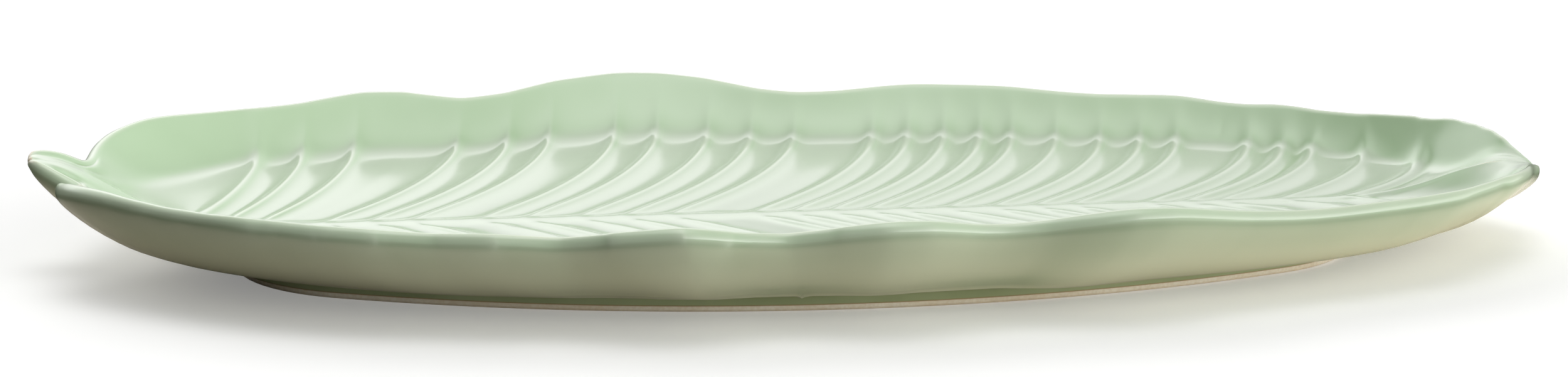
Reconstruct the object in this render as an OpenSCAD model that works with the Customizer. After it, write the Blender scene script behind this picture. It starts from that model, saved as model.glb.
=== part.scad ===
// A serving plate pressed in the shape of one leaf, glazed all over but for the edge that it stands on.
// X runs along the midrib to the drip tip, Y points from the near lip to the far lip, and Z points up.
// The origin is on the table, under the middle of the leaf.

/* [Leaf] */
// Length from the end of the stem stub to the drip tip
leaf_l = 301; // [285:1:330]
// Width between the lips at the widest place, without the waves
leaf_w = 147; // [132:1:170]
// Height of the lip above the table
rim_h = 20.7; // [17:0.1:27]
// Thickness of the floor with its glaze
floor_t = 3.6; // [2.6:0.1:5]
// How much the floor rises from the midrib to the foot of the wall
dish_rise = 3; // [1:0.1:4]
// Thickness across the lip
lip_w = 3.4; // [2.4:0.1:4.4]
// Drop from the top of the lip to its outer edge
lip_drop = 1.7; // [0.8:0.1:2.4]
// Drop from the top of the lip to its inner edge
lip_ease = 1; // [0.5:0.1:1.6]

/* [Waves] */
// Height of a full wave of the lip
wave_lift = 2; // [0:0.1:3]
// Outward reach of a full wave of the lip
wave_reach = 4; // [0:0.1:6]

/* [Ribs] */
// Height of the midrib above the floor
midrib_h = 0.4; // [0.2:0.1:1.2]
// Width of the midrib at its foot
midrib_w = 6; // [4:0.1:8]
// Height of a side vein above the floor
vein_h = 0.8; // [0.3:0.1:1.2]
// Width of a side vein at its foot
vein_w = 4; // [2.6:0.1:4.8]

/* [Foot ring] */
// Length of the foot ring outside, at its top
foot_l = 223; // [205:1:232]
// Width of the foot ring outside, at its top
foot_w = 101; // [90:1:106]
// Radius of the foot ring's round ends
foot_end_r = 33; // [26:1:38]
// Height of the foot ring
foot_h = 4.8; // [4.4:0.1:7]
// Thickness of the foot ring where it joins the leaf
foot_t = 7; // [5.5:0.1:9]
// How far each side of the foot ring leans in toward its contact edge
foot_lean = 0.8; // [0.4:0.1:1.4]
// Width of the small bevel beside the contact edge
foot_bevel = 0.5; // [0.3:0.1:0.8]

/* [Glaze] */
// Thickness of the glaze
glaze_t = 0.45; // [0.3:0.05:0.6]
// Height of the bare clay above the contact edge
bare_h = 1.3; // [1:0.1:2]

/* [Hidden] */

half_l = leaf_l / 2;
half_w = leaf_w / 2;
under_h = foot_h - glaze_t;
floor_h = under_h + floor_t;
// Steps round each end and each long side of the foot ring
end_steps = 24;
side_steps = 28;

// Rows that cross the stem stub and the two base lobes, in order from the stub's end.
// Each row's place on the midrib is a share of half the length.
base_root_shares = [
    -0.999, -0.988, -0.971, -0.949, -0.923, -0.884, -0.855,
    -0.837, -0.824, -0.814, -0.807, -0.802, -0.798, -0.795
];
// The far and the near end of those rows: place along as a share of half the length, place across as a
// share of half the width, and height as a share of the lip's height above the floor
far_base_shares = [
    [-0.996, 0.032, 1.17], [-0.986, 0.064, 1.25], [-0.969, 0.088, 1.21], [-0.949, 0.108, 1.09],
    [-0.929, 0.130, 0.94], [-0.928, 0.180, 0.91], [-0.924, 0.247, 0.97], [-0.914, 0.315, 1.05],
    [-0.899, 0.378, 1.11], [-0.879, 0.440, 1.15], [-0.852, 0.513, 1.18], [-0.816, 0.592, 1.14],
    [-0.771, 0.672, 1.08], [-0.727, 0.732, 1.05]
];
near_base_shares = [
    [-0.996, 0.032, 1.15], [-0.986, 0.064, 1.19], [-0.969, 0.088, 1.11], [-0.947, 0.110, 0.95],
    [-0.928, 0.130, 0.82], [-0.951, 0.170, 0.87], [-0.964, 0.226, 0.95], [-0.960, 0.292, 1.04],
    [-0.942, 0.365, 1.10], [-0.909, 0.438, 1.12], [-0.867, 0.517, 1.10], [-0.820, 0.596, 1.06],
    [-0.771, 0.672, 1.05], [-0.727, 0.732, 1.05]
];
// Rows that cross the drip tip, in the same way
tip_root_shares = [0.757, 0.800, 0.846, 0.890, 0.930, 0.964, 0.997];
far_tip_shares = [
    [0.921, 0.364, 0.82], [0.940, 0.298, 0.83], [0.955, 0.236, 0.83], [0.968, 0.172, 0.80],
    [0.979, 0.114, 0.72], [0.990, 0.066, 0.62], [1.000, 0.024, 0.50]
];
near_tip_shares = [
    [0.921, 0.364, 0.775], [0.940, 0.298, 0.755], [0.955, 0.236, 0.72], [0.968, 0.172, 0.685],
    [0.979, 0.114, 0.645], [0.990, 0.066, 0.60], [1.000, 0.024, 0.55]
];
// Where each side vein reaches the foot of the wall, as a share of half the length
vein_end_shares = [
    -0.70, -0.64, -0.57, -0.50, -0.43, -0.36, -0.30, -0.21, -0.15, -0.08, -0.02, 0.04, 0.10, 0.15,
    0.20, 0.25, 0.30, 0.345, 0.405, 0.465, 0.52, 0.57, 0.62, 0.665, 0.71, 0.75, 0.815, 0.88
];
// The places in that list where the face is plain, with no vein
plain_end_shares = [-0.50, 0.10, 0.62];
// How far along the leaf each vein leans between the midrib and the foot of the wall
vein_lean_shares = [
    [-0.70, 0.080], [-0.64, 0.105], [-0.57, 0.135], [-0.50, 0.170], [-0.43, 0.195],
    [-0.30, 0.213], [0.60, 0.210], [0.73, 0.195], [0.82, 0.170], [0.90, 0.145]
];
// Where across the leaf the veins end
vein_end_share = 0.80;
// Half the width of the leaf along its sides
outline_shares = [
    [-0.727, 0.734], [-0.600, 0.850], [-0.433, 0.939], [-0.233, 1.000], [0.000, 0.993],
    [0.233, 0.945], [0.433, 0.870], [0.600, 0.782], [0.733, 0.667], [0.833, 0.544], [0.938, 0.305]
];
// Height of the lip along the sides
rim_shares = [
    [-0.727, 1.05], [-0.600, 1.01], [-0.200, 1.00], [0.250, 0.98], [0.450, 0.93], [0.650, 0.83], [0.938, 0.76]
];
// Height of the floor along the midrib
spine_shares = [
    [-0.999, 1.14], [-0.949, 1.00], [-0.900, 0.72], [-0.857, 0.44], [-0.820, 0.28], [-0.780, 0.15],
    [-0.720, 0.05], [-0.640, 0.00], [0.700, 0.00], [0.800, 0.10], [0.850, 0.25], [0.890, 0.41],
    [0.930, 0.53], [0.964, 0.57], [0.997, 0.54]
];
// Waves of the two lips: place, half length, and size as a share of a full wave
far_wave_shares = [
    [-0.547, 0.13, 0.55], [-0.400, 0.12, -0.40], [-0.180, 0.22, 1.05], [0.067, 0.17, -0.68],
    [0.460, 0.14, -0.33], [0.660, 0.08, -0.28], [0.790, 0.09, -0.30], [0.900, 0.10, 0.30]
];
near_wave_shares = [
    [-0.500, 0.10, -0.40], [-0.350, 0.12, -0.65], [-0.210, 0.13, 0.70], [-0.080, 0.12, -0.50],
    [0.070, 0.13, 0.70], [0.200, 0.11, -0.40], [0.380, 0.15, 1.00], [0.600, 0.12, -0.25],
    [0.840, 0.13, 0.15]
];
// How full the midrib is along the leaf
midrib_shares = [[-0.999, 0], [-0.900, 0], [-0.780, 1], [0.850, 1], [0.997, 0]];
// Columns of the face, from the midrib to the inner edge of the lip, and how full a vein is on each
column_shares = [0.045, 0.10, 0.28, 0.50, 0.68, 0.78, 0.89, 1];
vein_full_shares = [0.4, 1, 1, 1, 1.1, 1.6, 0.6, 0];
// Columns of the outside, from the lip to the foot ring
belly_shares = [0.93, 0.75, 0.42, 0];
// Where the wall leaves the floor, along the midrib
wall_start_shares = [
    [-0.999, 0.50], [-0.860, 0.50], [-0.820, 0.60], [-0.780, 0.80], [0.720, 0.80], [0.760, 0.76],
    [0.800, 0.66], [0.846, 0.52], [0.890, 0.36], [0.930, 0.22], [0.997, 0.10]
];
// How sharply the wall and the belly turn up, and how deep a wave runs down the wall
wall_turn = 1.8;
belly_turn = 2.4;
// Least thickness of the wall as a share of the floor's, and how softly the wall's inside leaves the floor
wall_share = 0.85;
wall_blend = 0.5;
// How much more sharply the belly turns up toward the stub and the drip tip, where it runs further past the
// foot ring
stub_gain = 0.8;
tip_gain = 3.2;
wave_depth = 6;
// Most of a row's length that a lip may take
lip_most_share = 0.5;
// Bow of the veins, of the rows at the base and of each row at the tip, and how much more a row bends that
// leans back round the notch beside the stub
vein_bow_share = 0.88;
base_bow_share = 0.12;
tip_bow_shares = [0.75, 0.62, 0.48, 0.34, 0.22, 0.14, 0.12];
notch_bow_share = 1.2;
// Rows of fewer lip widths than this have a deeper edge, and how much deeper the deepest is
blunt_widths = 4;
blunt_gain = 1.3;

// Slope of a table of [place, value] rows at row i
function table_slope(t, i) =
    let (a = max(i - 1, 0), b = min(i + 1, len(t) - 1)) (t[b][1] - t[a][1]) / (t[b][0] - t[a][0]);

// The span of a table that holds place x
function span_at(t, x, i = 0) = i >= len(t) - 2 || x < t[i + 1][0] ? i : span_at(t, x, i + 1);

// The table's value at x, on a smooth curve through its rows
function curve_at(t, x) =
    let (
        i = span_at(t, x),
        h = t[i + 1][0] - t[i][0],
        s = min(max((x - t[i][0]) / h, 0), 1),
        near_value = t[i][1] * (1 + 2 * s) + h * table_slope(t, i) * s,
        far_value = t[i + 1][1] * (3 - 2 * s) - h * table_slope(t, i + 1) * (1 - s)
    )
    near_value * (1 - s) * (1 - s) + far_value * s * s;

// A rounded bump, 1 at t = 0 and 0 from t = 1 on
function bump(t) = abs(t) < 1 ? (1 + cos(180 * t)) / 2 : 0;

function total(list, i = 0) = i < len(list) ? list[i] + total(list, i + 1) : 0;

function unit(v) = v / norm(v);

// Size of the waves at a place along the leaf
function wave_at(waves, x) = total([for (w = waves) w[2] * bump((x / half_l - w[0]) / w[1])]);

// Height over the table for a share of the lip's height above the floor
function height_of(share) = floor_h + share * (rim_h - floor_h);

// The place and height of a lip from its three shares
function lip_of(shares) = [shares[0] * half_l, shares[1] * half_w, height_of(shares[2])];

// A row is [root along the midrib, 1 on a vein's crest, far lip, near lip, bow]
function end_rows(roots, far, near, bows) =
    [for (i = [0:len(roots) - 1]) [roots[i] * half_l, 0, lip_of(far[i]), lip_of(near[i]), bows[i]]];

// The row that reaches the foot of the wall at x
function vein_row(x, crest) =
    let (
        lean = half_l * curve_at(vein_lean_shares, x / half_l),
        root = x - lean,
        along = root + lean / (vein_end_share * (1 + vein_bow_share * (1 - vein_end_share))),
        place = along / half_l,
        lip = [along, half_w * curve_at(outline_shares, place), height_of(curve_at(rim_shares, place))]
    )
    [root, crest, lip, lip, vein_bow_share];

// How high a vein's crest stands at an end place: 0 on the plain places
function crest_at(e) = len([for (p = plain_end_shares) if (p == e) p]) > 0 ? 0 : 1;

rows = concat(
    end_rows(
        base_root_shares, far_base_shares, near_base_shares,
        [for (root = base_root_shares) base_bow_share]
    ),
    [
        for (e = vein_end_shares)
            for (k = [-1:1]) vein_row(e * half_l + k * vein_w / 2, k == 0 ? crest_at(e) : 0)
    ],
    end_rows(tip_root_shares, far_tip_shares, near_tip_shares, tip_bow_shares)
);

// The lip of a row on the far side, 1, or the near side, -1
function lip_at(row, side) = side > 0 ? row[2] : row[3];

function row_length(row, side) = let (lip = lip_at(row, side)) norm([lip[0] - row[0], lip[1]]);

// Share of a row's length at which its lip begins
function lip_start(row, side) = 1 - min(lip_w / row_length(row, side), lip_most_share);

// Size of the wave on one side of a row
function row_wave(row, side) = wave_at(side > 0 ? far_wave_shares : near_wave_shares, lip_at(row, side)[0]);

// Place over the table of share u of a row, from the midrib to the outside of the lip
function plan_at(row, side, u) =
    let (
        lip = lip_at(row, side),
        lean = (lip[0] - row[0]) / row_length(row, side),
        bow = row[4] + notch_bow_share * min(lean, 0),
        along = row[0] + (lip[0] - row[0]) * u * (1 + bow * (1 - u)),
        wave = wave_reach * row_wave(row, side) * pow(u, wave_depth)
    )
    [along, side * (lip[1] * u + wave)];

// Height of the top of the lip
function crest_h(row, side) = lip_at(row, side)[2] + wave_lift * row_wave(row, side);

// The top of the lip, half way across it
function lip_top(row, side) =
    let (plan = plan_at(row, side, (1 + lip_start(row, side)) / 2)) [plan[0], plan[1], crest_h(row, side)];

// The outer edge of the lip
function lip_edge(row, side) =
    let (
        plan = plan_at(row, side, 1),
        deeper = max(1 - row_length(row, side) / (blunt_widths * lip_w), 0)
    )
    [plan[0], plan[1], crest_h(row, side) - lip_drop * (1 + blunt_gain * deeper)];

// The four-centred oval of the foot ring, grown by some distance
end_x = foot_l / 2 - foot_end_r;
side_r = (end_x * end_x + foot_w * foot_w / 4 - foot_end_r * foot_end_r) / (foot_w - 2 * foot_end_r);
side_y = side_r - foot_w / 2;
side_angle = atan2(end_x, side_y);

// The oval's point on the ray from the middle toward a place
function oval_point(p, grow) =
    let (
        d = unit([abs(p[0]), abs(p[1])]),
        end_r = foot_end_r + grow,
        reach_in = end_x * d[1],
        end_t = end_x * d[0] + sqrt(max(end_r * end_r - reach_in * reach_in, 0)),
        side_t = sqrt(pow(side_r + grow, 2) - pow(side_y * d[0], 2)) - side_y * d[1],
        on_end = reach_in < end_r && atan2(end_t * d[0] - end_x, end_t * d[1]) > side_angle,
        t = on_end ? end_t : side_t
    )
    [sign(p[0]) * t * d[0], sign(p[1]) * t * d[1]];

// How far a place lies outside the foot ring, along the ray from the middle
function past_foot(p) = norm([p[0], p[1]]) - norm(oval_point(p, glaze_t));

// How sharply the outside turns up toward a lip
function turn_at(lip) =
    let (past = past_foot(lip) / ((leaf_w - foot_w) / 2))
    belly_turn + (lip[0] > 0 ? tip_gain : stub_gain) * max(past - 1, 0);

// Height of the outside at share s of the way from the foot ring to a lip
function belly_h(lip, s) = under_h + (lip[2] - under_h) * pow(s, turn_at(lip));

// Slope of the outside at share s
function belly_slope(lip, s) =
    (lip[2] - under_h) * turn_at(lip) * pow(s, turn_at(lip) - 1) / past_foot(lip);

// A point of the outside at share s
function belly_point(row, side, s) =
    let (lip = lip_edge(row, side), foot = oval_point(lip, glaze_t))
    [foot[0] + (lip[0] - foot[0]) * s, foot[1] + (lip[1] - foot[1]) * s, belly_h(lip, s)];

// The outer edges of the two lips, and each as a table of reach and of height by direction from the middle
edges = [for (side = [1, -1]) [for (row = rows) lip_edge(row, side)]];
function direction_of(p) = atan2(abs(p[1]), p[0]);
edge_reaches = [for (edge = edges) [for (p = edge) [direction_of(p), norm([p[0], p[1]])]]];
edge_heights = [for (edge = edges) [for (p = edge) [direction_of(p), p[2]]]];

// The point of the lip's outer edge in the direction of a place
function edge_beyond(p, side) =
    let (
        k = side > 0 ? 0 : 1,
        a = direction_of(p),
        reach = lookup(a, edge_reaches[k])
    )
    [reach * cos(a), side * reach * sin(a), lookup(a, edge_heights[k])];

// Height of the floor on the midrib, without its relief
function spine_h(row) = height_of(curve_at(spine_shares, row[0] / half_l));

// How far the midrib stands up at a distance from its middle
function midrib_at(row, off) =
    midrib_h * max(curve_at(midrib_shares, row[0] / half_l), 0) * bump(off / (midrib_w / 2));

// The larger of two heights, with a soft change from one to the other
function soft_max(a, b) = (a + b + norm([a - b, wall_blend])) / 2;

// Height of the smooth face at a place on a row, at share w of the way to the lip's inner edge
function face_h(row, side, plan, w) =
    let (
        low = spine_h(row),
        top = crest_h(row, side) - lip_ease,
        start = curve_at(wall_start_shares, row[0] / half_l),
        rise = dish_rise * (top - low) / (rim_h - floor_h) / pow(vein_end_share, 2),
        up_wall = pow(max(w - start, 0) / (1 - start), wall_turn),
        dish = low + rise * w * w + (top - low - rise) * up_wall,
        lip = edge_beyond(plan, side),
        s = min(max(past_foot(plan) / past_foot(lip), 0), 1),
        wall = wall_share * floor_t * norm([1, belly_slope(lip, s)])
    )
    w < 1 ? soft_max(dish, min(belly_h(lip, s) + wall, top)) : top;

// A point of the face, on column i
function face_point(row, side, i) =
    let (
        w = column_shares[i],
        plan = plan_at(row, side, w * lip_start(row, side)),
        relief = vein_h * row[1] * vein_full_shares[i] + midrib_at(row, plan[1])
    )
    [plan[0], plan[1], face_h(row, side, plan, w) + relief];

function spine_point(row) = [row[0], 0, face_h(row, 1, [row[0], 0], 0) + midrib_at(row, 0)];

// One side of a row across the face, from the midrib out to the lip's outer edge
function face_side(row, side) = concat(
    [for (i = [0:len(column_shares) - 1]) face_point(row, side, i)],
    [lip_top(row, side), lip_edge(row, side)]
);

function belly_side(row, side) = [for (s = belly_shares) belly_point(row, side, s)];

function backwards(list) = [for (i = [len(list) - 1:-1:0]) list[i]];

// A closed loop round the leaf: over the face from the near lip to the far lip, and back underneath
function loop_of(row) = concat(
    backwards(face_side(row, -1)), [spine_point(row)], face_side(row, 1),
    belly_side(row, 1), backwards(belly_side(row, -1))
);

skin = [for (row = rows) loop_of(row)];
last = len(rows) - 1;
around = len(skin[0]);
// Places in a loop: the two outer edges of the lip, and the two points on the foot ring's oval
near_lip = 0;
far_lip = 2 * (len(column_shares) + 2);
far_foot = far_lip + len(belly_shares);
near_foot = far_foot + 1;

// Outward direction of the surface at a point of a loop
function outward(r, j) =
    let (
        along = skin[min(r + 1, last)][j] - skin[max(r - 1, 0)][j],
        across = skin[r][(j + 1) % around] - skin[r][(j + around - 1) % around]
    )
    unit(cross(along, across));

// The clay under the glaze: level under the foot ring, and drawn back from both ends of the leaf
function clay_point(r, j) =
    let (
        p = skin[r][j],
        end = j > far_lip ? 0 : r == 0 ? 1 : r == last ? -1 : 0
    )
    j == far_foot || j == near_foot
        ? [p[0], p[1], foot_h]
        : p - glaze_t * outward(r, j) + [end * glaze_t, 0, 0];

clay = [for (r = [0:last]) [for (j = [0:around - 1]) clay_point(r, j)]];

// The middle of an end of the leaf, between its lip and the first belly points
function hub_of(loop) = (loop[near_lip] + loop[far_lip] + loop[far_lip + 1] + loop[around - 1]) / 4;

function points_of(loops) = concat(
    [for (loop = loops) for (p = loop) p],
    [hub_of(loops[0]), hub_of(loops[last])]
);

point_count = len(rows) * around + 2;

function id(r, j) = r * around + j % around;

// Two triangles between rows r and r + 1
function patch(r, j) = [
    [id(r, j), id(r, j + 1), id(r + 1, j + 1)],
    [id(r, j), id(r + 1, j + 1), id(r + 1, j)]
];

function strip(from, to) = [for (r = [0:last - 1]) for (j = [from:to - 1]) each patch(r, j)];

function flipped(faces) = [for (f = faces) [f[2], f[1], f[0]]];

function lifted(faces, n) = [for (f = faces) [f[0] + n, f[1] + n, f[2] + n]];

// The end of the leaf at row r: a fan under the lip, then pairs of belly points down to the foot ring
function end_faces(r, hub) = concat(
    [for (j = [near_lip:far_lip]) [id(r, j + 1), id(r, j), hub]],
    [[id(r, far_lip + 1), hub, id(r, around - 1)], [id(r, around), id(r, around - 1), hub]],
    [for (k = [1:len(belly_shares) - 1]) each [
        [id(r, far_lip + k + 1), id(r, far_lip + k), id(r, around - k)],
        [id(r, far_lip + k + 1), id(r, around - k), id(r, around - k - 1)]
    ]]
);

end_patches = concat(
    end_faces(0, len(rows) * around),
    flipped(end_faces(last, len(rows) * around + 1))
);
face_patches = strip(near_lip, far_lip);
under_patches = concat(strip(far_lip, far_foot), strip(near_foot, around), end_patches);
base_patches = strip(far_foot, near_foot);

// The lip's outer edge all round, and the foot ring's oval
lip_ring = concat(
    [for (j = [near_lip:far_lip]) id(0, j)],
    [for (r = [1:last]) id(r, far_lip)],
    [for (j = [far_lip - 1:-1:near_lip]) id(last, j)],
    [for (r = [last - 1:-1:1]) id(r, near_lip)]
);
foot_oval = concat([for (r = [0:last]) id(r, far_foot)], [for (r = [last:-1:0]) id(r, near_foot)]);

// The edge of a coat, from the glaze down to the clay
function edge_faces(ring) = [
    for (i = [0:len(ring) - 1])
        let (p = ring[i], q = ring[(i + 1) % len(ring)])
            each [[q, p, p + point_count], [q, p + point_count, q + point_count]]
];

// A coat of glaze: its outside, the clay side of it, and its edges
module coat(patches, rings) {
    polyhedron(
        points = concat(points_of(skin), points_of(clay)),
        faces = concat(
            patches,
            lifted(flipped(patches), point_count),
            [for (ring = rings) each edge_faces(ring)]
        )
    );
}

module leaf_body() {
    color("#e6dcc4")
        polyhedron(
            points = points_of(clay),
            faces = concat(face_patches, under_patches, base_patches)
        );
}

module upper_glaze() {
    color("#bcd6b4")
        coat(face_patches, [lip_ring]);
}

module under_glaze() {
    color("#a9bd9c")
        coat(under_patches, [backwards(lip_ring), foot_oval]);
}

// Points along an arc, without its last one
function arc_points(centre, r, from, to, steps) =
    [for (i = [0:steps - 1]) let (a = from + (to - from) * i / steps) centre + r * [cos(a), sin(a)]];

// The four-centred oval as a closed line, grown by some distance
function oval_line(grow) = concat(
    arc_points([end_x, 0], foot_end_r + grow, side_angle - 90, 90 - side_angle, end_steps),
    arc_points([0, -side_y], side_r + grow, 90 - side_angle, 90 + side_angle, side_steps),
    arc_points([-end_x, 0], foot_end_r + grow, 90 + side_angle, 270 - side_angle, end_steps),
    arc_points([0, side_y], side_r + grow, 270 - side_angle, 270 + side_angle, side_steps)
);

// Sweeps a closed section round the oval. Its corners are [distance outside the oval, height].
module oval_sweep(section) {
    lines = [for (p = section) oval_line(p[0])];
    turns = len(lines[0]);
    corners = len(section);
    polyhedron(
        points = [for (i = [0:turns - 1]) for (k = [0:corners - 1]) [each lines[k][i], section[k][1]]],
        faces = [
            for (i = [0:turns - 1])
                for (k = [0:corners - 1])
                    let (
                        p = i * corners + k,
                        q = i * corners + (k + 1) % corners,
                        step = ((i + 1) % turns - i) * corners
                    )
                    each [[p, p + step, q + step], [p, q + step, q]]
        ]
    );
}

// How far outside the oval the two sides of the foot ring lie at height z
function outer_side(z) = -foot_lean * (foot_h - z) / (foot_h - foot_bevel);

function inner_side(z) = -foot_t - outer_side(z);

module foot_ring() {
    color("#e9dfc6")
        oval_sweep([
            [outer_side(foot_h), foot_h],
            [outer_side(foot_bevel), foot_bevel],
            [outer_side(foot_bevel) - foot_bevel, 0],
            [inner_side(foot_bevel) + foot_bevel, 0],
            [inner_side(foot_bevel), foot_bevel],
            [inner_side(foot_h), foot_h]
        ]);
}

module foot_glaze() {
    color("#93a583") {
        oval_sweep([
            [outer_side(foot_h) + glaze_t, foot_h],
            [outer_side(bare_h) + glaze_t, bare_h],
            [outer_side(bare_h), bare_h],
            [outer_side(foot_h), foot_h]
        ]);
        oval_sweep([
            [inner_side(foot_h), foot_h],
            [inner_side(bare_h), bare_h],
            [inner_side(bare_h) - glaze_t, bare_h],
            [inner_side(foot_h) - glaze_t, foot_h]
        ]);
    }
}

module well_glaze() {
    color("#a3b694")
        translate([0, 0, foot_h - glaze_t])
            linear_extrude(glaze_t)
                polygon(oval_line(-foot_t - glaze_t));
}

leaf_body();
foot_ring();
upper_glaze();
under_glaze();
foot_glaze();
well_glaze();
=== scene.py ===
# %% [markdown]
# # A leaf shaped plate in pale green celadon
# This lesson dresses a finished CAD model of a serving plate. The CAD gives the true sizes: a pressed clay
# leaf, the oval ring that it stands on, and the thin coats of glaze, all in flat facets. The leaf could be
# modelled again by hand, but that would lose the sizes. So each piece starts as a copy of the CAD's own
# mesh, gets the soft skin that molten glass has, and then a material that is built from what the real one
# is.

# %% Load the frame
import math

import bmesh
import bpy
import numpy as np
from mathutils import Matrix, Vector


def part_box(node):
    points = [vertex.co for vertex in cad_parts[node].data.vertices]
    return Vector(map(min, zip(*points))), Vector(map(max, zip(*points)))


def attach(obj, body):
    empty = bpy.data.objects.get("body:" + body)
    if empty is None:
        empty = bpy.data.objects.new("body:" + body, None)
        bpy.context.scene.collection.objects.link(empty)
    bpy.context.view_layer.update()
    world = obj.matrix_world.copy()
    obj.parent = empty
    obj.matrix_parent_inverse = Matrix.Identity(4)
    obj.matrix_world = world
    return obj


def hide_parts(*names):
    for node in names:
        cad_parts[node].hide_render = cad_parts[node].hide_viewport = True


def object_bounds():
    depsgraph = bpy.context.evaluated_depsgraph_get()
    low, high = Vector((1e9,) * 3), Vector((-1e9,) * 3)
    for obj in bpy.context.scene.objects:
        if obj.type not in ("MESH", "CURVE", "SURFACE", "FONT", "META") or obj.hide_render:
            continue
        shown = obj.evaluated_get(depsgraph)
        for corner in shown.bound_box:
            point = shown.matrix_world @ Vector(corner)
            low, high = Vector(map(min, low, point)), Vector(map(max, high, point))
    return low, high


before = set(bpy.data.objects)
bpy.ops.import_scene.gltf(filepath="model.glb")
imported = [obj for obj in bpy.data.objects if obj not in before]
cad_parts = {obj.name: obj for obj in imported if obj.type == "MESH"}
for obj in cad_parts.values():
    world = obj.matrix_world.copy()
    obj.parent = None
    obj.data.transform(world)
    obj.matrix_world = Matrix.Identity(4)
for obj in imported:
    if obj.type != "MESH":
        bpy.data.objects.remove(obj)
cad_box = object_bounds()
scene = bpy.context.scene
MM = 0.001
print("nodes:", sorted(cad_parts))
print("box:", [tuple(round(v / MM, 1) for v in corner) for corner in cad_box], "mm")

# %% [markdown]
# ## The camera
# The photograph looks along the plate's broad side from a little above the table, with the stem's end
# slightly nearer. The camera could be moved by hand until it fits, but two angles and a distance from the
# point that it looks at are easier to match one by one. A long lens from 900 mm away gives the same flat
# perspective.

# %% Camera
PHOTO_W = 2500
SENSOR_W = 36
FOCAL_PX = 7263
VIEW_FROM = 900 * MM
VIEW_ABOVE = math.radians(12)
VIEW_ROUND = math.radians(6.7)
LOOK_AT = Vector((-2.7, 0, 13)) * MM
NEAREST_SEEN = 10 * MM

toward_camera = Vector((
    -math.cos(VIEW_ABOVE) * math.sin(VIEW_ROUND),
    -math.cos(VIEW_ABOVE) * math.cos(VIEW_ROUND),
    math.sin(VIEW_ABOVE),
))
camera = bpy.data.objects.new("camera", bpy.data.cameras.new("camera"))
scene.collection.objects.link(camera)
camera.location = LOOK_AT + toward_camera * VIEW_FROM
camera.rotation_euler = toward_camera.to_track_quat("Z", "Y").to_euler()
camera.data.sensor_fit = "HORIZONTAL"
camera.data.sensor_width = SENSOR_W
camera.data.lens = FOCAL_PX / PHOTO_W * SENSOR_W
camera.data.clip_start = NEAREST_SEEN
scene.camera = camera
print("camera at", [round(v / MM) for v in camera.location], "mm, lens", round(camera.data.lens, 1), "mm")

# %% [markdown]
# ## Helpers
# Colours are picked as sRGB hex values, as a paint chart gives them, and a shader wants linear light, so
# one function turns one into the other. Another small function adds a node with its settings and links,
# which keeps each material short enough to read. A third lays one colour over another by some value, as
# glaze lies on clay.

# %% Colour and node helpers
def linear(code):
    """The linear RGBA value of an sRGB hex colour."""
    parts = [int(code[i:i + 2], 16) / 255 for i in (1, 3, 5)]
    return [c / 12.92 if c <= 0.04045 else ((c + 0.055) / 1.055) ** 2.4 for c in parts] + [1]


def add(tree, kind, settings=None, **links):
    """Adds a node with its settings. Each link gives a socket, by name or as in0, a value or an output."""
    node = tree.nodes.new(kind)
    for name, value in (settings or {}).items():
        setattr(node, name, value)
    for name, value in links.items():
        socket = node.inputs[int(name[2:])] if name.startswith("in") else node.inputs[name.replace("_", " ")]
        if isinstance(value, bpy.types.NodeSocket):
            tree.links.new(value, socket)
        else:
            socket.default_value = value
    return node


def new_material(name):
    """An empty node material, its tree and its output node."""
    material = bpy.data.materials.new(name)
    material.use_nodes = True
    material.node_tree.nodes.clear()
    return material, material.node_tree, material.node_tree.nodes.new("ShaderNodeOutputMaterial")


def tinted(tree, colour, where, low, high, code):
    """Lays a hex colour over another: none of it where a value is low, and all of it where it is high."""
    amount = add(tree, "ShaderNodeMapRange", {"interpolation_type": "SMOOTHSTEP"}, Value=where,
                 From_Min=low, From_Max=high).outputs["Result"]
    ground = linear(colour) if isinstance(colour, str) else colour
    top = linear(code)
    return add(tree, "ShaderNodeMix", {"data_type": "RGBA"}, in0=amount, in6=ground, in7=top).outputs[2]


print("helpers ready")

# %% [markdown]
# ## The clay leaf
# The real leaf was pressed in a mould, so its floor, veins and wall are one sheet of clay. Here a copy of
# the CAD's sheet is merged into one skin. Its loose triangles are joined to four-sided faces, because a
# Subdivision Surface modifier, which comes later, rounds those evenly, and would leave dimples on
# triangles.

# %% Copy the clay
SAME_POINT = 0.002 * MM
FLAT_ENOUGH, SQUARE_ENOUGH = math.radians(40), math.radians(60)


def copy_node(node, name):
    """A copy of a CAD node's mesh in a new object, merged into one skin, and the only object selected."""
    bpy.ops.object.select_all(action="DESELECT")
    piece = bpy.data.objects.new(name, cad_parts[node].data.copy())
    scene.collection.objects.link(piece)
    bpy.context.view_layer.objects.active = piece
    piece.select_set(True)
    bpy.ops.object.mode_set(mode="EDIT")
    bpy.ops.mesh.select_all(action="SELECT")
    bpy.ops.mesh.remove_doubles(threshold=SAME_POINT)
    bpy.ops.mesh.tris_convert_to_quads(face_threshold=FLAT_ENOUGH, shape_threshold=SQUARE_ENOUGH)
    bpy.ops.object.mode_set(mode="OBJECT")
    return piece


leaf_clay = copy_node("leaf_body", "leaf_clay")
sides = [len(p.vertices) for p in leaf_clay.data.polygons]
print("leaf_clay:", sides.count(4), "quads and", sides.count(3), "triangles")

# %% [markdown]
# The crests of the pressed veins are a little sharper than the rest of the floor. A bevel would add a row
# of faces to each crest. A light crease on its edges needs none, and the subdivision then rounds them less.

# %% Crease the crests of the veins
CREST_ANGLE = math.radians(12)
CREST_CREASE = 0.1
LOOKS_UP = 0.6
VEINED_FROM, VEINED_TO, VEINED_BELOW = -92 * MM, 118 * MM, 15 * MM

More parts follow.
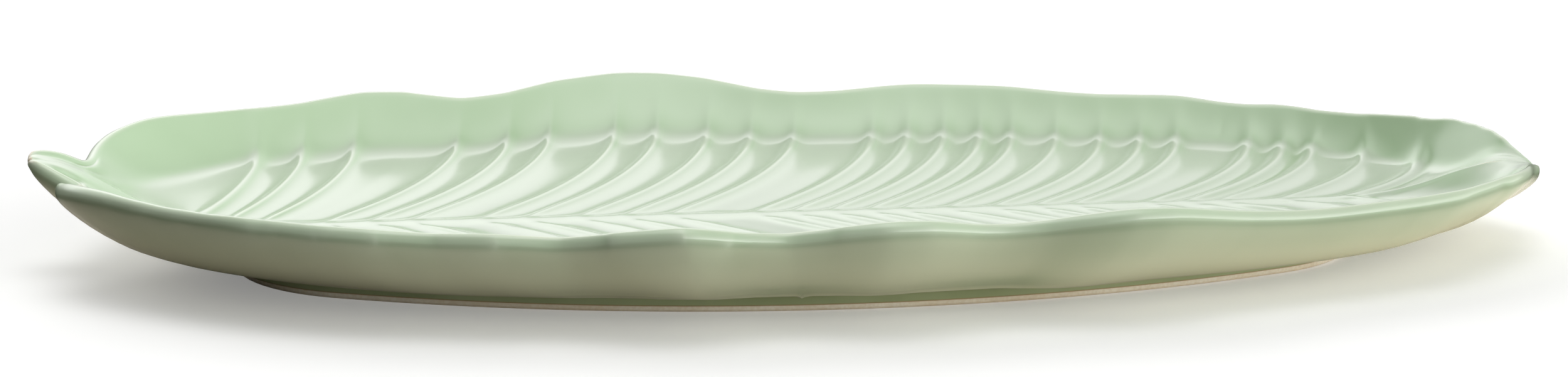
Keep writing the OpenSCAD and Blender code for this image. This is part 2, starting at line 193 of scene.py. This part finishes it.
bpy.ops.object.mode_set(mode="EDIT")
mesh = bmesh.from_edit_mesh(leaf_clay.data)
crease = mesh.edges.layers.float.new("crease_edge")
crests = 0
for edge in mesh.edges:
    veined = all(VEINED_FROM < v.co.x < VEINED_TO and v.co.z < VEINED_BELOW for v in edge.verts)
    if veined and len(edge.link_faces) == 2 and edge.calc_face_angle_signed() > CREST_ANGLE:
        if min(face.normal.z for face in edge.link_faces) > LOOKS_UP:
            edge[crease] = CREST_CREASE
            crests += 1
bmesh.update_edit_mesh(leaf_clay.data)
bpy.ops.object.mode_set(mode="OBJECT")
print("leaf_clay:", crests, "creased edges")

# %% [markdown]
# A potter wipes the stub and the drip tip round with a wet finger. The CAD's columns of points crowd
# together at both, and a subdivision would make small folds of them. Smoothing alone slides crowded points
# but keeps them crowded, so the ones that lie close are merged first.

# %% Wipe the two ends smooth
STUB_WIPED, TIP_WIPED = 7.35 * MM, 5.5 * MM
CROWDED = 0.7 * MM

bpy.ops.object.mode_set(mode="EDIT")
mesh = bmesh.from_edit_mesh(leaf_clay.data)
for vertex in mesh.verts:
    at_stub = vertex.co.x < cad_box[0][0] + STUB_WIPED
    at_tip = vertex.co.x > cad_box[1][0] - TIP_WIPED
    vertex.select_set(at_stub or at_tip)
mesh.select_flush(True)
bmesh.update_edit_mesh(leaf_clay.data)
bpy.ops.mesh.remove_doubles(threshold=CROWDED)
mesh = bmesh.from_edit_mesh(leaf_clay.data)
wiped = sum(v.select for v in mesh.verts)
bpy.ops.mesh.vertices_smooth(factor=0.5, repeat=2)
bpy.ops.object.mode_set(mode="OBJECT")
print("leaf_clay:", wiped, "points smoothed")

# %% [markdown]
# The clay has no flat facets, and a Subdivision Surface modifier takes the CAD's away. Its skin lies inside
# the mesh that it comes from, and would take half a millimetre off the lip and off both ends. Scaling the
# leaf up would spoil its sizes elsewhere, so each corner is first moved out by most of what it is about to
# be drawn in. The corners of the large flat faces underneath are drawn in most, within their own plane. They
# are moved out too, so the belly beside the foot comes out fuller than in the CAD, by 1.4 mm at most.

# %% Round the leaf
ROUNDINGS = 2
GIVEN_BACK = 0.7


def coordinates(vertices):
    """The places of some vertices as rows of an array."""
    flat = np.empty(len(vertices) * 3, np.float32)
    vertices.foreach_get("co", flat)
    return flat.reshape(-1, 3)


def finish_with(piece, kind, **settings):
    """Adds a modifier, sets it and applies it."""
    modifier = piece.modifiers.new(kind.lower(), kind)
    for name, value in settings.items():
        setattr(modifier, name, value)
    bpy.ops.object.modifier_apply(modifier=modifier.name)


def allow_for_rounding(piece, share, levels):
    """Moves each corner out by a share of what a subdivision draws it in."""
    trial = piece.modifiers.new("trial", "SUBSURF")
    trial.levels = levels
    rounded = piece.evaluated_get(bpy.context.evaluated_depsgraph_get())
    before = coordinates(piece.data.vertices)
    drawn_in = before - coordinates(rounded.to_mesh().vertices)[:len(before)]
    rounded.to_mesh_clear()
    piece.modifiers.remove(trial)
    piece.data.vertices.foreach_set("co", (before + share * drawn_in).ravel())
    piece.data.update()
    return float(np.linalg.norm(drawn_in, axis=1).max())


most = allow_for_rounding(leaf_clay, GIVEN_BACK, ROUNDINGS)
finish_with(leaf_clay, "SUBSURF", levels=ROUNDINGS, render_levels=ROUNDINGS)
bpy.ops.object.shade_smooth()
print("leaf_clay: corners drawn in by up to", round(most / MM, 2), "mm")
print("leaf_clay:", len(leaf_clay.data.polygons), "faces")

# %% [markdown]
# Fine ripples are left where the columns of points run close together. Blender's own smoothing would take
# them away and shrink the lip with them. So each round here draws the points toward their neighbours and
# then lets them out again by a little more, which takes ripples away and leaves wider shapes. The ends need
# all of it, and under the drip tip it starts sooner. The rest of the leaf gets a part of it.

# %% Neighbours on a skin
def soft_step(values, low, high):
    """Goes softly from 0 to 1 as the values go from low to high."""
    t = np.clip((values - low) / (high - low), 0, 1)
    return t * t * (3 - 2 * t)


def near(distance, full, none):
    """1 as far as a distance of full, and softly down to 0 at a distance of none."""
    return 1 - soft_step(distance, full, none)


def edge_ends(piece):
    """The two vertices of every edge, as two arrays."""
    ends = np.empty(len(piece.data.edges) * 2, np.int32)
    piece.data.edges.foreach_get("vertices", ends)
    return ends.reshape(-1, 2).T


def normals_of(piece):
    """The normals of a piece's vertices as rows of an array."""
    flat = np.empty(len(piece.data.vertices) * 3, np.float32)
    piece.data.vertex_normals.foreach_get("vector", flat)
    return flat.reshape(-1, 3)


def neighbour_mean(piece):
    """A function that turns rows of values, one for each vertex, into the means over its neighbours."""
    a, b = edge_ends(piece)
    total = len(piece.data.vertices)
    count = np.bincount(a, minlength=total) + np.bincount(b, minlength=total)

    def mean(rows):
        sums = [np.bincount(a, column[b], total) + np.bincount(b, column[a], total) for column in rows.T]
        return np.stack(sums, 1) / count[:, None]

    return mean


print("leaf_clay:", len(edge_ends(leaf_clay)[0]), "edges join its vertices")

# %% Relax the skin
DRAW_IN, LET_OUT = 0.5, -0.52
RELAX_ROUNDS = 24
EVERYWHERE = 0.6
STUB_RELAXED = 8.35, 18.35
TIP_RELAXED = 8.5, 18.5
UNDER_SOONER = 18
UNDER_FROM, UNDER_FULL = 0.0, 0.3


def relax(piece, amount, rounds):
    """Smooths each vertex by its amount, 0 to 1, without shrinking the piece."""
    places = coordinates(piece.data.vertices).astype(float)
    mean = neighbour_mean(piece)
    for step in (DRAW_IN, LET_OUT) * rounds:
        places += step * amount[:, None] * (mean(places) - places)
    piece.data.vertices.foreach_set("co", places.astype(np.float32).ravel())
    piece.data.update()


along = coordinates(leaf_clay.data.vertices)[:, 0]
from_stub, from_tip = (along - cad_box[0][0]) / MM, (cad_box[1][0] - along) / MM
sooner = UNDER_SOONER * soft_step(-normals_of(leaf_clay)[:, 2], UNDER_FROM, UNDER_FULL)
tip_full, tip_none = TIP_RELAXED
at_ends = np.maximum(near(from_stub, *STUB_RELAXED), near(from_tip, tip_full + sooner, tip_none + sooner))
relax(leaf_clay, np.maximum(at_ends, EVERYWHERE), RELAX_ROUNDS)
print("leaf_clay:", len(along), "vertices relaxed,", int((at_ends > EVERYWHERE).sum()), "of them more")

# %% [markdown]
# Wiping took a little off both ends. Scaling would stretch the whole leaf, so only the ends are let out
# again, and softly: the stub up and back, and the tip forward.

# %% Let out both ends
STUB_UP, STUB_BACK, TIP_FORWARD = 0.75 * MM, 0.6 * MM, 0.6 * MM
STUB_RAISED = 3.35, 25.35
STUB_DRAWN = 2.35, 14.35
TIP_DRAWN = 2.5, 14.5

places = coordinates(leaf_clay.data.vertices)
places[:, 2] += STUB_UP * near(from_stub, *STUB_RAISED)
places[:, 0] += TIP_FORWARD * near(from_tip, *TIP_DRAWN) - STUB_BACK * near(from_stub, *STUB_DRAWN)
leaf_clay.data.vertices.foreach_set("co", places.ravel())
leaf_clay.data.update()
print("leaf_clay: from", (places.min(0) / MM).round(1), "to", (places.max(0) / MM).round(1), "mm")

# %% [markdown]
# ## The glaze on the leaf
# The glaze was poured over both sides and melted to one glassy skin. It could be a material on the clay
# alone, but a coat of its own keeps its true thickness at the lip. So it is the clay's shape again, pushed
# out.

# %% Pour the glaze
GLAZE_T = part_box("foot_glaze")[1][0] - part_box("foot_ring")[1][0]

bpy.ops.object.duplicate()
leaf_glaze = bpy.context.active_object
leaf_glaze.name = "leaf_glaze"
bpy.ops.object.mode_set(mode="EDIT")
bpy.ops.mesh.select_all(action="SELECT")
bpy.ops.transform.shrink_fatten(value=GLAZE_T)
bpy.ops.object.mode_set(mode="OBJECT")
print("leaf_glaze:", round(GLAZE_T / MM, 2), "mm thick,", len(leaf_glaze.data.polygons), "faces")

# %% [markdown]
# While it was molten, the glaze ran off the edges and into the hollows, so its depth of colour follows the
# shape. The material also paints shade in the hollows and a highlight on the edges by the same shape. A
# painted map could hold that, but the shape itself can say it. How far each point of the skin stands out
# from its neighbours is above 0 on an edge and below 0 in a hollow. Two more numbers say how much a point
# looks down, and how level it lies; by them the material paints shade, bounce light and a reflection of the
# backdrop. All three are kept on the mesh, and the material reads them.

# %% Note the shape that the glaze's colour and its painted light follow
BEND_ROUNDS = 4
NEVER_ZERO = 1e-4


def keep(piece, name, values):
    """Keeps one number for each vertex of a piece."""
    piece.data.attributes.new(name, "FLOAT", "POINT").data.foreach_set("value", values.astype(np.float32))


def bend_of(piece, rounds):
    """How sharply a piece bends at each vertex, per millimetre, smoothed over its neighbours."""
    places = coordinates(piece.data.vertices) / MM
    normals = normals_of(piece)
    a, b = edge_ends(piece)
    total = len(places)
    away = places[a] - places[b]
    span = (away ** 2).sum(1) + NEVER_ZERO
    at_a, at_b = (away * normals[a]).sum(1) / span, -(away * normals[b]).sum(1) / span
    count = np.bincount(a, minlength=total) + np.bincount(b, minlength=total)
    bend = ((np.bincount(a, at_a, total) + np.bincount(b, at_b, total)) / count)[:, None]
    mean = neighbour_mean(piece)
    for _ in range(rounds):
        bend = (bend + mean(bend)) / 2
    return bend[:, 0]


facing = normals_of(leaf_glaze)
bend = bend_of(leaf_glaze, BEND_ROUNDS)
keep(leaf_glaze, "bend", bend)
# under and level carry painted shade, painted bounce light and a painted reflection in the celadon
keep(leaf_glaze, "under", np.clip(-facing[:, 2], 0, 1))
keep(leaf_glaze, "level", np.clip(facing[:, 2], 0, 1))
print("leaf_glaze: bend", np.percentile(bend, [1, 5, 25, 75, 95, 99]).round(3), "per mm")

# %% [markdown]
# The outer wall of the real plate has one even sheen. The columns of the CAD's mesh crowd together under
# some waves of the lip, and a flat band would show there. Moving the points would change the wall, so only
# the directions that the light is worked out from are changed: each takes the mean of its neighbours' many
# times.

# %% Even out the sheen of the outer wall
OUTER_FROM, OUTER_FULL = 0.0, 0.25
SHEEN_ROUNDS = 90


def evened(piece, directions, amount, rounds):
    """Directions at the vertices of a piece, each drawn toward the mean of its neighbours' by its amount."""
    mean = neighbour_mean(piece)
    for _ in range(rounds):
        directions = directions + DRAW_IN * amount[:, None] * (mean(directions) - directions)
    return directions / np.linalg.norm(directions, axis=1, keepdims=True)


outer = soft_step(-facing[:, 2], OUTER_FROM, OUTER_FULL)
sheen = evened(leaf_glaze, facing, outer, SHEEN_ROUNDS)
leaf_glaze.data.normals_split_custom_set_from_vertices(sheen)
print("leaf_glaze:", int((outer > 0).sum()), "vertices evened")

# %% [markdown]
# ## The foot
# The foot ring was turned from the same clay and luted on. It is bare only near the table, where the glaze
# was wiped off before the firing. Use has worn its edges slightly. A Bevel modifier gives that wear and
# catches a line of light, which a smooth shading of sharp edges wouldn't.

# %% Foot ring
WEAR_W = 0.16 * MM
WORN_ANGLE = math.radians(25)

foot_clay = copy_node("foot_ring", "foot_clay")
finish_with(foot_clay, "BEVEL", width=WEAR_W, segments=3, limit_method="ANGLE", angle_limit=WORN_ANGLE)
bpy.ops.object.shade_smooth()
print("foot_clay:", len(foot_clay.data.polygons), "faces")

# %% [markdown]
# The glaze on the ring ends below in a fat rounded roll, and it pooled above, where the ring meets the
# belly. A torus laid along the joint would leave a seam. So the coat's own upright faces are cut into low
# bands, and the bands near the belly are pushed outward along a quarter of a circle.

# %% Glaze on the foot ring
ROLL_W = 0.2 * MM
ROLL_ANGLE = math.radians(50)
FILLET_R = 1.3 * MM
BANDS = 12
UPRIGHT_L = 2 * MM
FACES_OUT = 0.5
BELLY_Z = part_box("under_glaze")[0][2]

foot_glaze = copy_node("foot_glaze", "foot_glaze_coat")
finish_with(foot_glaze, "BEVEL", width=ROLL_W, segments=4, limit_method="ANGLE", angle_limit=ROLL_ANGLE)
bpy.ops.object.mode_set(mode="EDIT")
mesh = bmesh.from_edit_mesh(foot_glaze.data)
upright = [e for e in mesh.edges if abs(e.verts[0].co.z - e.verts[1].co.z) > UPRIGHT_L]
bmesh.ops.subdivide_edges(mesh, edges=upright, cuts=BANDS, use_grid_fill=True)
mesh.normal_update()
for vertex in mesh.verts:
    into = vertex.co.z - (BELLY_Z - FILLET_R)
    if into > 0 and vertex.normal.xy.length > FACES_OUT:
        reach = FILLET_R - math.sqrt(max(FILLET_R ** 2 - min(into, FILLET_R) ** 2, 0))
        vertex.co.xy += vertex.normal.xy.normalized() * reach
bmesh.update_edit_mesh(foot_glaze.data)
bpy.ops.object.mode_set(mode="OBJECT")
bpy.ops.object.shade_smooth()
print("foot_glaze_coat:", len(foot_glaze.data.polygons), "faces, belly at", round(BELLY_Z / MM, 2), "mm")

# %% [markdown]
# ## The celadon glaze
# Celadon is a feldspar glaze with a little iron, fired with little air, so it comes out as pale green
# glass. A glass shader over the clay would be truer and much slower. An opaque glossy surface looks much the
# same from outside once its colour follows the shape. It is paler on edges, where the glaze runs thin, with a
# painted highlight there too, and cream on the sharpest, where the clay shows through. It is deeper in
# hollows, where the glaze pools, with painted shade there too. Where it lies level it is paler, a painted
# reflection of the backdrop. Where it looks a little down it is greyer, which is painted shade, and where it
# looks far down it is pale cream, which is painted bounce light from the floor. Its colour drifts where the
# flame passed, a few specks of iron show, and a very faint orange peel, drawn coarser than the real one,
# breaks up the gloss.

# %% Celadon
DRIFT_W, PEEL_W = 55 * MM, 6 * MM
PEEL_H = 0.02 * MM
SPECKS_APART, SPECK_W = 25 * MM, 0.9 * MM
SPECKS_LEFT_OUT = 0.6
GLASS_IOR = 1.5
CELADON_TINTS = (
    # painted reflection of the pale backdrop: paler where the glaze lies level
    ("level", 0.84, 0.97, "#CAD8C2"),
    # painted shade: greyer where the glaze looks a little down
    ("under", 0.02, 0.20, "#AEC19F"),
    # painted bounce light from the floor: pale cream where the glaze looks far down
    ("under", 0.30, 0.95, "#EAEFD4"),
    # deeper in hollows: pooled glaze, and painted shade
    ("bend", -0.01, -0.10, "#AEC7A1"),
    # paler on edges: thin glaze, and a painted highlight
    ("bend", 0.03, 0.22, "#D6E4CA"),
    ("bend", 0.20, 0.45, "#E6DABF"),
)


def iron_specks(tree, place):
    """1 inside a few round specks and 0 elsewhere."""
    cells = add(tree, "ShaderNodeTexVoronoi", Vector=place, Scale=1 / SPECKS_APART)
    edge, full = SPECK_W / 2 / SPECKS_APART, SPECK_W / 5 / SPECKS_APART
    dot = add(tree, "ShaderNodeMapRange", Value=cells.outputs["Distance"], From_Min=edge, From_Max=full)
    chance = add(tree, "ShaderNodeSeparateColor", Color=cells.outputs["Color"]).outputs["Red"]
    chosen = add(tree, "ShaderNodeMath", {"operation": "GREATER_THAN"}, in0=chance, in1=SPECKS_LEFT_OUT)
    return add(tree, "ShaderNodeMath", {"operation": "MULTIPLY"}, in0=dot.outputs["Result"],
               in1=chosen.outputs[0]).outputs[0]


def make_celadon():
    material, tree, out = new_material("celadon_glaze")
    place = add(tree, "ShaderNodeTexCoord").outputs["Object"]
    drift = add(tree, "ShaderNodeTexNoise", Vector=place, Scale=1 / DRIFT_W, Detail=3.0).outputs["Fac"]
    colour = tinted(tree, "#B7D1AC", drift, 0.35, 0.65, "#C1D9B7")
    for name, low, high, code in CELADON_TINTS:
        where = add(tree, "ShaderNodeAttribute", {"attribute_name": name}).outputs["Fac"]
        colour = tinted(tree, colour, where, low, high, code)
    colour = tinted(tree, colour, iron_specks(tree, place), 0.0, 1.6, "#5F6644")
    peel = add(tree, "ShaderNodeTexNoise", Vector=place, Scale=1 / PEEL_W, Detail=2.0).outputs["Fac"]
    bump = add(tree, "ShaderNodeBump", Height=peel, Strength=0.25, Distance=PEEL_H).outputs[0]
    rough = add(tree, "ShaderNodeMapRange", Value=drift, To_Min=0.08, To_Max=0.15).outputs["Result"]
    shader = add(tree, "ShaderNodeBsdfPrincipled", Base_Color=colour, Roughness=rough, Normal=bump,
                 IOR=GLASS_IOR)
    tree.links.new(shader.outputs[0], out.inputs["Surface"])
    return material


celadon = make_celadon()
print("made", celadon.name, "with", len(celadon.node_tree.nodes), "nodes")

# %% [markdown]
# ## The pooled and shaded glaze
# On the foot the same celadon lies thick and has taken up more iron from the clay, so it is olive there,
# and it is made darker still as painted shade, since the foot stands in the shade of the belly. It is darkest
# where it pooled under the belly, which is also painted shade, and brown in a fine line where it ends. The
# height over the table says where all of these are, so no map has to be painted.

# %% Glaze on the foot
BARE_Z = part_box("foot_glaze")[0][2]
POOLED_DRIFT_W = 33 * MM
POOL_SHADE_FROM, POOL_SHADE_FULL = 2.6 * MM, 4.2 * MM
END_LINE_W = 0.3 * MM


def make_pooled_shaded():
    material, tree, out = new_material("pooled_shaded_glaze")
    place = add(tree, "ShaderNodeTexCoord").outputs["Object"]
    height = add(tree, "ShaderNodeSeparateXYZ", Vector=place).outputs["Z"]
    drift = add(tree, "ShaderNodeTexNoise", Vector=place, Scale=1 / POOLED_DRIFT_W, Detail=3.0).outputs["Fac"]
    # olive, darker than the leaf's celadon: thick glaze, and painted shade under the belly
    colour = tinted(tree, "#9FAA80", drift, 0.35, 0.65, "#AFBA92")
    # darkest near the belly: pooled glaze, and painted shade under its overhang
    colour = tinted(tree, colour, height, POOL_SHADE_FROM, POOL_SHADE_FULL, "#7C8559")
    colour = tinted(tree, colour, height, BARE_Z + END_LINE_W, BARE_Z, "#A98F62")
    shader = add(tree, "ShaderNodeBsdfPrincipled", Base_Color=colour, Roughness=0.12, IOR=GLASS_IOR)
    tree.links.new(shader.outputs[0], out.inputs["Surface"])
    return material


pooled_shaded = make_pooled_shaded()
print("made", pooled_shaded.name, "that ends", round(BARE_Z / MM, 2), "mm over the table")

# %% [markdown]
# ## The bare clay
# The clay is a fine cream stoneware, fired and wiped, so it is matt, with a grain that is felt more than
# seen. The flame gave it a warm blush in places, iron browned it beside the glaze, and its contact edge is
# darker in the last fifth of a millimetre over the table. The real grain is too fine to show, and is drawn
# at 0.7 mm.

# %% Bare clay
GRAIN_W, GRAIN_H = 0.7 * MM, 0.03 * MM
BLUSH_W = 17 * MM
BROWN_LINE_W, DARKER_BELOW_H = 0.25 * MM, 0.2 * MM
CLAY_IOR = 1.5


def make_clay():
    material, tree, out = new_material("bare_clay")
    place = add(tree, "ShaderNodeTexCoord").outputs["Object"]
    height = add(tree, "ShaderNodeSeparateXYZ", Vector=place).outputs["Z"]
    grain = add(tree, "ShaderNodeTexNoise", Vector=place, Scale=1 / GRAIN_W, Detail=3.0).outputs["Fac"]
    blush = add(tree, "ShaderNodeTexNoise", Vector=place, Scale=1 / BLUSH_W, Detail=2.0).outputs["Fac"]
    colour = tinted(tree, "#EFE5CF", grain, 0.35, 0.65, "#F8F1DF")
    colour = tinted(tree, colour, blush, 0.35, 1.1, "#E3CDA6")
    colour = tinted(tree, colour, height, BARE_Z - BROWN_LINE_W, BARE_Z, "#B88E5C")
    # darker in the last 0.2 mm over the table
    colour = tinted(tree, colour, height, DARKER_BELOW_H, 0.0, "#D8C49E")
    bump = add(tree, "ShaderNodeBump", Height=grain, Strength=0.4, Distance=GRAIN_H).outputs[0]
    shader = add(tree, "ShaderNodeBsdfPrincipled", Base_Color=colour, Roughness=0.75, Normal=bump,
                 IOR=CLAY_IOR)
    tree.links.new(shader.outputs[0], out.inputs["Surface"])
    return material


clay = make_clay()
print("made", clay.name, "with", len(clay.node_tree.nodes), "nodes")

# %% [markdown]
# ## Dress the pieces
# The glaze on the leaf is one melted skin on the real plate, so one piece stands for the three coats that
# the CAD keeps apart.

# %% Give each piece its material and hide the nodes that it stands for
def dress(piece, material, slot, *nodes):
    """Gives a piece its material, hangs it on the root body and hides the nodes that it stands for."""
    piece.data.materials.clear()
    piece.data.materials.append(material)
    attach(piece, "root")
    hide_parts(*nodes)


dress(leaf_clay, clay, "clay", "leaf_body")
dress(leaf_glaze, celadon, "glaze", "upper_glaze", "under_glaze", "well_glaze")
dress(foot_clay, clay, "clay", "foot_ring")
dress(foot_glaze, pooled_shaded, "glaze", "foot_glaze")
print("dressed 4 pieces")

# %% [markdown]
# ## The floor
# The camera sees one plain pale floor with the plate's shadow. All other rays meet a warm card round the
# plate that carries painted light, darker on the left and brightest on the right, and sends that light back
# up to the underside. Past its edge lies a near-black floor, painted shade for the table farther out. Card
# and floor could be two planes, but one plane is both: the camera's rays and all others see different
# colours.

# %% Floor
FLOOR_W = 8
LIT_REACH = (175 * MM, 95 * MM, 1)
LIT_EDGE = 0.95, 1.12
LIGHT_GRADE_FROM, LIGHT_GRADE_TO = -150 * MM, 150 * MM
FLOOR_LIFT = 0.22

bpy.ops.object.select_all(action="DESELECT")
bpy.ops.mesh.primitive_plane_add(size=FLOOR_W, location=(0, 0, 0))
table = bpy.context.active_object
table.name = "table"
material, tree, out = new_material("card_on_bench")
place = add(tree, "ShaderNodeTexCoord").outputs["Object"]
rightward = add(tree, "ShaderNodeSeparateXYZ", Vector=place).outputs["X"]
share_out = add(tree, "ShaderNodeVectorMath", {"operation": "DIVIDE"}, in0=place, in1=LIT_REACH).outputs[0]
reach = add(tree, "ShaderNodeVectorMath", {"operation": "LENGTH"}, in0=share_out).outputs["Value"]
# painted light on the card: darker on the left, brightest on the right, for bounce and reflected rays
colour = tinted(tree, "#B9B2A5", rightward, LIGHT_GRADE_FROM, LIGHT_GRADE_TO, "#F9F0E1")
# past the card's edge a near-black floor: painted shade for the unlit table farther out
card = add(tree, "ShaderNodeBsdfDiffuse", Color=tinted(tree, colour, reach, *LIT_EDGE, "#141414"))
white = add(tree, "ShaderNodeBsdfDiffuse", Color=linear("#F4F4F3"))
lift = add(tree, "ShaderNodeEmission", Color=(1, 1, 1, 1), Strength=FLOOR_LIFT)
seen = add(tree, "ShaderNodeAddShader", in0=white.outputs[0], in1=lift.outputs[0])
rays = add(tree, "ShaderNodeLightPath")
floor = add(tree, "ShaderNodeMixShader", in0=rays.outputs["Is Camera Ray"], in1=card.outputs[0],
            in2=seen.outputs[0])
tree.links.new(floor.outputs[0], out.inputs["Surface"])
table.data.materials.append(material)
print("floor:", material.name, "on", table.name)

# %% [markdown]
# ## The tent of light
# A glossy glaze mirrors whatever stands round it, so lamps would show as hard spots. A potter's picture is
# taken in a tent of white cloth, and the tent here is the world itself. Each soft patch of it has a
# direction along the table, a band of height and a brightness. The low front right is the brightest, and
# lights the side that the camera sees. Behind stands a wide backdrop that the floor of the leaf mirrors,
# which makes it paler than the wall. The top is a soft light overhead, and the left and the front left stay
# dark.

# %% Directions in the tent
SPREAD = math.radians(45)

world = bpy.data.worlds.new("studio")
scene.world = world
world.use_nodes = True
tree = world.node_tree
tree.nodes.clear()
out = tree.nodes.new("ShaderNodeOutputWorld")
direction = add(tree, "ShaderNodeTexCoord").outputs["Generated"]
axes = add(tree, "ShaderNodeSeparateXYZ", Vector=direction)
height = add(tree, "ShaderNodeMath", {"operation": "ARCSINE"}, in0=axes.outputs["Z"]).outputs[0]
level_part = add(tree, "ShaderNodeCombineXYZ", X=axes.outputs["X"], Y=axes.outputs["Y"]).outputs[0]
bearing = add(tree, "ShaderNodeVectorMath", {"operation": "NORMALIZE"}, in0=level_part).outputs[0]


def band(*stops):
    """A band of height over the table, from stops of (degrees, share of the full brightness)."""
    share_up = add(tree, "ShaderNodeMath", {"operation": "DIVIDE"}, in0=height, in1=math.pi / 2).outputs[0]
    node = add(tree, "ShaderNodeValToRGB", in0=share_up)
    while len(node.color_ramp.elements) < len(stops):
        node.color_ramp.elements.new(1)
    for point, (degrees, share) in zip(node.color_ramp.elements, stops):
        point.position = degrees / 90
        point.color = (share, share, share, 1)
    return node.outputs["Color"]


def toward(degrees):
    """1 toward a direction along the table, and down to 0 at the spread to either side of it."""
    way = (math.cos(math.radians(degrees)), math.sin(math.radians(degrees)), 0)
    turn = add(tree, "ShaderNodeVectorMath", {"operation": "DOT_PRODUCT"}, in0=bearing, in1=way)
    angle = add(tree, "ShaderNodeMath", {"operation": "ARCCOSINE"}, in0=turn.outputs["Value"]).outputs[0]
    return add(tree, "ShaderNodeMapRange", Value=angle, From_Max=SPREAD, To_Min=1.0, To_Max=0.0).outputs[0]


print("the tent's directions are ready")

# %% Patches of light
RIGHT, FRONT_RIGHT, BEHIND, BACK_LEFT = 0, -45, 90, 135
SEEN_SKY = 1.0

low = band((0, 1), (8, 1), (32, 0))
middle = band((8, 0), (32, 1), (58, 0))
high = band((32, 0), (58, 1), (84, 0))
overhead = band((58, 0), (84, 1))
patches = [
    (low, FRONT_RIGHT, 6.0), (middle, FRONT_RIGHT, 1.7), (high, FRONT_RIGHT, 0.4),
    (low, RIGHT, 2.4), (low, BEHIND, 0.9), (middle, BEHIND, 3.0), (high, BEHIND, 0.9),
    (middle, BACK_LEFT, 3.6), (overhead, None, 3.0),
]
total = 0.0
for shape, degrees, brightness in patches:
    patch = add(tree, "ShaderNodeMath", {"operation": "MULTIPLY"}, in0=shape, in1=brightness)
    if degrees is not None:
        side = toward(degrees)
        patch = add(tree, "ShaderNodeMath", {"operation": "MULTIPLY"}, in0=patch.outputs[0], in1=side)
    total = add(tree, "ShaderNodeMath", {"operation": "ADD"}, in0=total, in1=patch.outputs[0]).outputs[0]
print("the tent has", len(patches), "patches of light")

# %% [markdown]
# The camera itself sees plain white past the floor's edge. All other rays, such as the ones that the glaze
# mirrors, meet the patches. White cloth all round would be simpler, and the glaze would look flat in it.

# %% White behind the plate
rays = add(tree, "ShaderNodeLightPath")
seen = add(tree, "ShaderNodeMix", {"data_type": "FLOAT"}, in0=rays.outputs["Is Camera Ray"], in2=total,
           in3=SEEN_SKY)
sky = add(tree, "ShaderNodeBackground", Color=(1, 1, 1, 1), Strength=seen.outputs[0])
tree.links.new(sky.outputs[0], out.inputs["Surface"])
print("the world has", len(tree.nodes), "nodes")

# %% [markdown]
# ## Finish
# The Standard view shows each colour about as it is written here.

# %% View and the end
scene.view_settings.view_transform = "Standard"

print("sizes written, view", scene.view_settings.view_transform)
